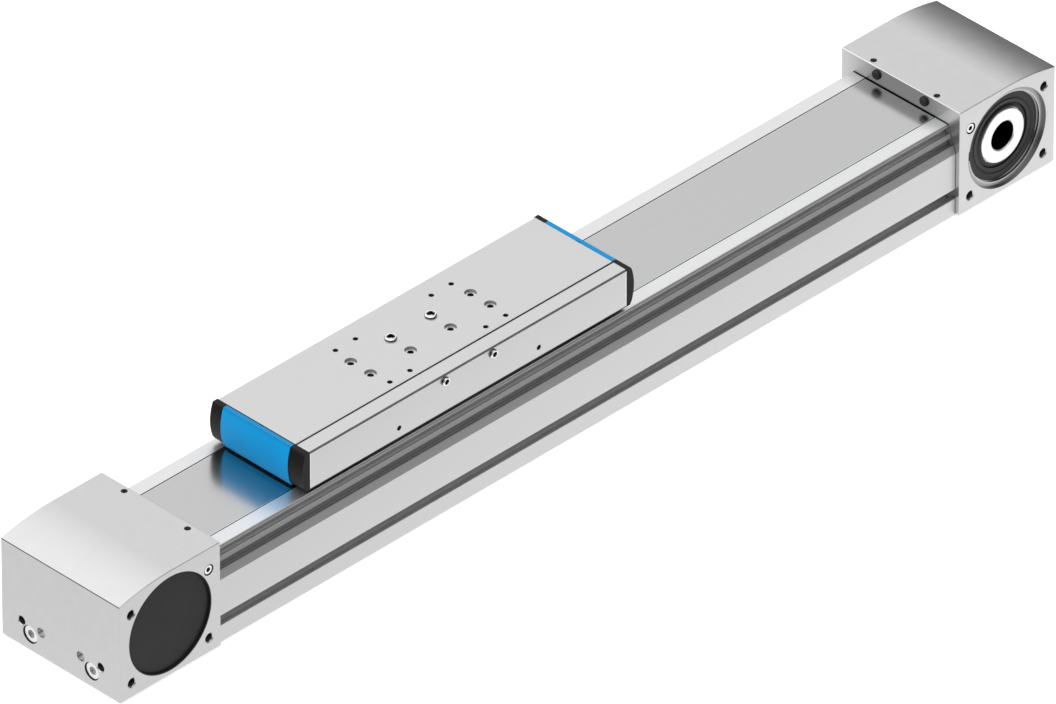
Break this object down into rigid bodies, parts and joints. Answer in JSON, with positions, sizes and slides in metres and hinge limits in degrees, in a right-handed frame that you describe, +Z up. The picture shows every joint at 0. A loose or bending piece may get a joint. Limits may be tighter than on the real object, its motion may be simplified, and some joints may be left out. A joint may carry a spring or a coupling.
{
  "type": "belt driven linear axis",
  "caption": "Horizontal belt driven linear axis: slotted aluminium profile, steel cover strip, guided slide and a pulley head at each end.",
  "frame": {"origin": "middle of the profile's underside, at mid length and mid width", "axes": "+X along the profile towards the drive head, +Z up through the cover strip, -Y towards the side with the open drive bore"},
  "size_m": [0.946, 0.12, 0.1147],
  "materials": {
    "profile_aluminium": "natural anodised, extruded",
    "head_aluminium": "natural anodised, machined",
    "slide_aluminium": "natural anodised, machined",
    "inner_aluminium": "machined",
    "bearing_steel": "ground",
    "fastener_steel": "zinc plated",
    "strip_steel": "bright rolled stainless",
    "magnet_rubber": "matt",
    "brass": "turned brass",
    "belt_polyurethane": "white polyurethane",
    "cap_plastic": "matt moulded",
    "black_rubber": "matt",
    "black_plastic": "fine moulded grain",
    "blue_plastic": "moulded, satin"
  },
  "bodies": {
    "root": {"profile_extrusion": "profile_aluminium", "guide_rail": "bearing_steel", "rail_screws": "fastener_steel", "magnetic_strips": "magnet_rubber", "cover_strip": "strip_steel", "toothed_belt": "belt_polyurethane", "drive_head_housing": "head_aluminium", "idler_head_housing": "head_aluminium", "drive_tie_screws": "fastener_steel", "idler_tie_screws": "fastener_steel", "strip_clamp_pads": "brass", "strip_clamp_screws": "fastener_steel", "end_buffers": "black_rubber", "port_plugs": "fastener_steel", "drive_far_cap": "cap_plastic", "idler_near_cap": "cap_plastic", "idler_far_cap": "cap_plastic", "drive_bearing_outer_rings": "bearing_steel", "drive_bearing_ball_rings": "bearing_steel", "drive_bearing_seals": "black_rubber", "idler_bearing_outer_rings": "bearing_steel", "idler_bearing_ball_rings": "bearing_steel", "idler_bearing_seals": "black_rubber", "drive_retaining_rings": "fastener_steel", "idler_retaining_rings": "fastener_steel"},
    "slide": {"slide_body": "slide_aluminium", "slide_side_bar": "slide_aluminium", "carriage_base": "inner_aluminium", "base_screws": "fastener_steel", "guide_block_left": "bearing_steel", "guide_block_right": "bearing_steel", "guide_block_end_plates": "black_plastic", "guide_block_screws": "fastener_steel", "belt_clamp_jaws": "inner_aluminium", "belt_clamp_plates": "inner_aluminium", "belt_clamp_screws": "fastener_steel", "end_cap_left": "black_plastic", "end_cap_right": "black_plastic", "centre_cover_left": "blue_plastic", "centre_cover_right": "blue_plastic", "end_cap_screws": "fastener_steel", "strip_wipers": "black_rubber", "strip_ramps": "black_plastic", "strip_shoes": "black_plastic", "top_centring_sleeves": "fastener_steel", "side_centring_sleeves": "fastener_steel"},
    "drive_pulley_set": {"drive_hub": "bearing_steel", "drive_pulley": "inner_aluminium", "drive_bearing_inner_rings": "bearing_steel"},
    "idler_pulley_set": {"idler_hub": "bearing_steel", "idler_pulley": "inner_aluminium", "idler_bearing_inner_rings": "bearing_steel"}
  },
  "joints": [
    {"name": "slide_travel", "type": "slide", "parent": "root", "child": "slide", "axis": [1, 0, 0], "range_m": [-0.0895, 0.3205], "deforming": ["toothed_belt", "cover_strip"]},
    {"name": "drive_pulley_spin", "type": "hinge", "parent": "root", "child": "drive_pulley_set", "pos_m": [0.4235, 0, 0.0462], "axis": [0, 1, 0], "range_deg": [-200, 705]},
    {"name": "idler_pulley_spin", "type": "hinge", "parent": "root", "child": "idler_pulley_set", "pos_m": [-0.4235, 0, 0.0462], "axis": [0, 1, 0], "range_deg": [-200, 705]}
  ],
  "couplings": [
    {"joint": "drive_pulley_spin", "follows": "slide_travel", "rad_per_m": 38.08},
    {"joint": "idler_pulley_spin", "follows": "slide_travel", "rad_per_m": 38.08}
  ]
}
